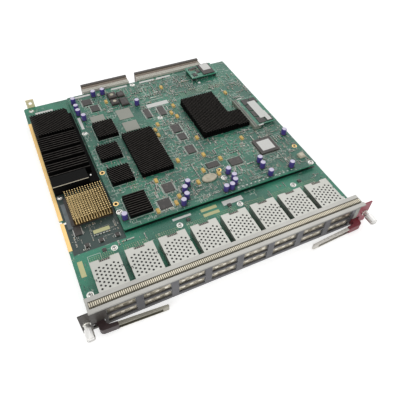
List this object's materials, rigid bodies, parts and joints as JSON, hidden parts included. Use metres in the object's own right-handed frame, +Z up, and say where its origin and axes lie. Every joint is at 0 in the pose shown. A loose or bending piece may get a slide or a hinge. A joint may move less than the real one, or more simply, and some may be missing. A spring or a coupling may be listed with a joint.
{
  "type": "network switch line card",
  "caption": "Rack switch line card with sixteen sprung-door module slots, stacked boards, heat sinks, captive screws and ejector levers.",
  "frame": {"origin": "middle of the line between the two captive screws, on the rear face of the panel ears, where the card seats on its chassis", "axes": "+X along the panel to the right-hand screw seen from the front, +Y back towards the backplane connectors, +Z up out of the component side"},
  "size_m": [0.3886, 0.4345, 0.0385],
  "materials": {
    "panel_paint": "satin",
    "bright_steel": "satin",
    "cage_steel": "satin",
    "door_steel": "satin",
    "gasket_metal": "satin",
    "main_board_green": "satin",
    "daughter_board_green": "satin",
    "tray_metal": "satin",
    "contact_gold": "satin",
    "black_anodised": "matte",
    "gold_anodised": "satin",
    "chip_black": "matte",
    "can_sleeve": "gloss",
    "tantalum_yellow": "matte",
    "nickel": "polished",
    "knob_metal": "satin",
    "cam_plastic": "matte",
    "arm_metal": "satin",
    "connector_plastic": "matte",
    "memory_green": "satin",
    "spacer_metal": "satin"
  },
  "bodies": {
    "card": {"front_panel": "panel_paint", "top_lip": "bright_steel", "emi_gasket": "gasket_metal", "main_board": "main_board_green", "daughter_board": "daughter_board_green", "edge_contact_strips": "contact_gold", "carrier_tray": "tray_metal", "guide_tab": "tray_metal", "tray_posts": "spacer_metal", "upper_cage_frames": "cage_steel", "lower_cage_frames": "cage_steel", "upper_cage_covers": "cage_steel", "lower_cage_covers": "cage_steel", "upper_module_sockets": "chip_black", "lower_module_sockets": "chip_black", "lever_brackets": "bright_steel", "lever_pins": "nickel", "screw_ferrules": "nickel", "screw_springs": "nickel", "left_backplane_connector": "connector_plastic", "right_backplane_connector": "connector_plastic", "regulator_heat_sink": "black_anodised", "gold_heat_sink": "gold_anodised", "main_chips": "chip_black", "small_heat_sinks": "black_anodised", "long_heat_sink": "black_anodised", "large_heat_sink": "black_anodised", "capacitor_cans": "can_sleeve", "tantalum_capacitors": "tantalum_yellow", "daughter_chips": "chip_black", "power_blocks": "chip_black", "main_screws": "nickel", "daughter_screws": "nickel", "daughter_standoffs": "spacer_metal", "memory_and_socket": "memory_green", "option_board": "memory_green"},
    "upper_door_1": {"upper_door_1": "door_steel"},
    "upper_door_2": {"upper_door_2": "door_steel"},
    "upper_door_3": {"upper_door_3": "door_steel"},
    "upper_door_4": {"upper_door_4": "door_steel"},
    "upper_door_5": {"upper_door_5": "door_steel"},
    "upper_door_6": {"upper_door_6": "door_steel"},
    "upper_door_7": {"upper_door_7": "door_steel"},
    "upper_door_8": {"upper_door_8": "door_steel"},
    "lower_door_1": {"lower_door_1": "door_steel"},
    "lower_door_2": {"lower_door_2": "door_steel"},
    "lower_door_3": {"lower_door_3": "door_steel"},
    "lower_door_4": {"lower_door_4": "door_steel"},
    "lower_door_5": {"lower_door_5": "door_steel"},
    "lower_door_6": {"lower_door_6": "door_steel"},
    "lower_door_7": {"lower_door_7": "door_steel"},
    "lower_door_8": {"lower_door_8": "door_steel"},
    "left_lever": {"left_lever_cam": "cam_plastic", "left_lever_arm": "arm_metal"},
    "right_lever": {"right_lever_cam": "cam_plastic", "right_lever_arm": "arm_metal"},
    "left_screw_ring": {"left_retaining_ring": "nickel"},
    "left_screw": {"left_thumbscrew": "knob_metal"},
    "right_screw_ring": {"right_retaining_ring": "nickel"},
    "right_screw": {"right_thumbscrew": "knob_metal"}
  },
  "joints": [
    {"name": "upper_door_1_hinge", "type": "hinge", "parent": "card", "child": "upper_door_1", "pos_m": [-0.1477, 0.0009, 0.0144], "axis": [1, 0, 0], "range_deg": [0, 85], "stiffness_Nm_per_rad": 0.002, "springref_deg": -28.65},
    {"name": "upper_door_2_hinge", "type": "hinge", "parent": "card", "child": "upper_door_2", "pos_m": [-0.1055, 0.0009, 0.0144], "axis": [1, 0, 0], "range_deg": [0, 85], "stiffness_Nm_per_rad": 0.002, "springref_deg": -28.65},
    {"name": "upper_door_3_hinge", "type": "hinge", "parent": "card", "child": "upper_door_3", "pos_m": [-0.0633, 0.0009, 0.0144], "axis": [1, 0, 0], "range_deg": [0, 85], "stiffness_Nm_per_rad": 0.002, "springref_deg": -28.65},
    {"name": "upper_door_4_hinge", "type": "hinge", "parent": "card", "child": "upper_door_4", "pos_m": [-0.0211, 0.0009, 0.0144], "axis": [1, 0, 0], "range_deg": [0, 85], "stiffness_Nm_per_rad": 0.002, "springref_deg": -28.65},
    {"name": "upper_door_5_hinge", "type": "hinge", "parent": "card", "child": "upper_door_5", "pos_m": [0.0211, 0.0009, 0.0144], "axis": [1, 0, 0], "range_deg": [0, 85], "stiffness_Nm_per_rad": 0.002, "springref_deg": -28.65},
    {"name": "upper_door_6_hinge", "type": "hinge", "parent": "card", "child": "upper_door_6", "pos_m": [0.0633, 0.0009, 0.0144], "axis": [1, 0, 0], "range_deg": [0, 85], "stiffness_Nm_per_rad": 0.002, "springref_deg": -28.65},
    {"name": "upper_door_7_hinge", "type": "hinge", "parent": "card", "child": "upper_door_7", "pos_m": [0.1055, 0.0009, 0.0144], "axis": [1, 0, 0], "range_deg": [0, 85], "stiffness_Nm_per_rad": 0.002, "springref_deg": -28.65},
    {"name": "upper_door_8_hinge", "type": "hinge", "parent": "card", "child": "upper_door_8", "pos_m": [0.1477, 0.0009, 0.0144], "axis": [1, 0, 0], "range_deg": [0, 85], "stiffness_Nm_per_rad": 0.002, "springref_deg": -28.65},
    {"name": "lower_door_1_hinge", "type": "hinge", "parent": "card", "child": "lower_door_1", "pos_m": [-0.1477, 0.0009, -0.0154], "axis": [-1, 0, 0], "range_deg": [0, 85], "stiffness_Nm_per_rad": 0.002, "springref_deg": -28.65},
    {"name": "lower_door_2_hinge", "type": "hinge", "parent": "card", "child": "lower_door_2", "pos_m": [-0.1055, 0.0009, -0.0154], "axis": [-1, 0, 0], "range_deg": [0, 85], "stiffness_Nm_per_rad": 0.002, "springref_deg": -28.65},
    {"name": "lower_door_3_hinge", "type": "hinge", "parent": "card", "child": "lower_door_3", "pos_m": [-0.0633, 0.0009, -0.0154], "axis": [-1, 0, 0], "range_deg": [0, 85], "stiffness_Nm_per_rad": 0.002, "springref_deg": -28.65},
    {"name": "lower_door_4_hinge", "type": "hinge", "parent": "card", "child": "lower_door_4", "pos_m": [-0.0211, 0.0009, -0.0154], "axis": [-1, 0, 0], "range_deg": [0, 85], "stiffness_Nm_per_rad": 0.002, "springref_deg": -28.65},
    {"name": "lower_door_5_hinge", "type": "hinge", "parent": "card", "child": "lower_door_5", "pos_m": [0.0211, 0.0009, -0.0154], "axis": [-1, 0, 0], "range_deg": [0, 85], "stiffness_Nm_per_rad": 0.002, "springref_deg": -28.65},
    {"name": "lower_door_6_hinge", "type": "hinge", "parent": "card", "child": "lower_door_6", "pos_m": [0.0633, 0.0009, -0.0154], "axis": [-1, 0, 0], "range_deg": [0, 85], "stiffness_Nm_per_rad": 0.002, "springref_deg": -28.65},
    {"name": "lower_door_7_hinge", "type": "hinge", "parent": "card", "child": "lower_door_7", "pos_m": [0.1055, 0.0009, -0.0154], "axis": [-1, 0, 0], "range_deg": [0, 85], "stiffness_Nm_per_rad": 0.002, "springref_deg": -28.65},
    {"name": "lower_door_8_hinge", "type": "hinge", "parent": "card", "child": "lower_door_8", "pos_m": [0.1477, 0.0009, -0.0154], "axis": [-1, 0, 0], "range_deg": [0, 85], "stiffness_Nm_per_rad": 0.002, "springref_deg": -28.65},
    {"name": "left_lever_hinge", "type": "hinge", "parent": "card", "child": "left_lever", "pos_m": [-0.176, 0.0042, -0.0104], "axis": [0, 0, -1], "range_deg": [0, 35]},
    {"name": "left_screw_push", "type": "slide", "parent": "card", "child": "left_screw_ring", "axis": [0, 1, 0], "range_m": [0, 0.004], "stiffness_N_per_m": 300, "springref_m": -0.006},
    {"name": "left_screw_turn", "type": "hinge", "parent": "left_screw_ring", "child": "left_screw", "pos_m": [-0.1879, -0.01, 0], "axis": [0, 1, 0], "continuous": true},
    {"name": "right_lever_hinge", "type": "hinge", "parent": "card", "child": "right_lever", "pos_m": [0.176, 0.0042, -0.0104], "axis": [0, 0, 1], "range_deg": [0, 35]},
    {"name": "right_screw_push", "type": "slide", "parent": "card", "child": "right_screw_ring", "axis": [0, 1, 0], "range_m": [0, 0.004], "stiffness_N_per_m": 300, "springref_m": -0.006},
    {"name": "right_screw_turn", "type": "hinge", "parent": "right_screw_ring", "child": "right_screw", "pos_m": [0.1879, -0.01, 0], "axis": [0, 1, 0], "continuous": true}
  ]
}
